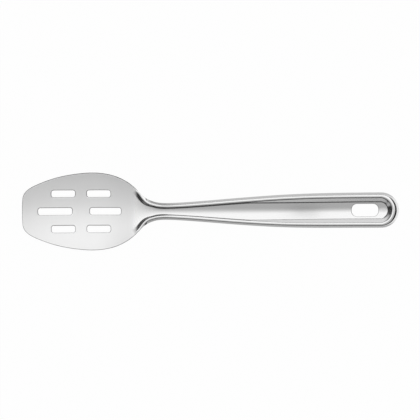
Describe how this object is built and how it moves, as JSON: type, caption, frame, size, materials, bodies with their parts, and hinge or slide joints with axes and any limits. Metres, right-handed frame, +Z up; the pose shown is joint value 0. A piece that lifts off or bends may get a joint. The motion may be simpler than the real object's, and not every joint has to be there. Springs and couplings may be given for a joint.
{
  "type": "slotted serving spoon",
  "caption": "Slotted serving spoon in pressed sheet steel: shallow blunt bowl with drain slots, and a tapering channelled handle with turned-down sides and a hanging hole.",
  "frame": {"origin": "on the table under the middle of the spoon's length and width, with the spoon lying bowl up", "axes": "+X runs from the tip of the bowl to the end of the handle, +Y across the spoon, +Z up out of the bowl"},
  "size_m": [0.33, 0.068, 0.026],
  "materials": {
    "polished_steel": "polished stainless steel, with a satin sheen in the bowl"
  },
  "bodies": {
    "root": {"pressed_spoon": "polished_steel"}
  },
  "joints": []
}
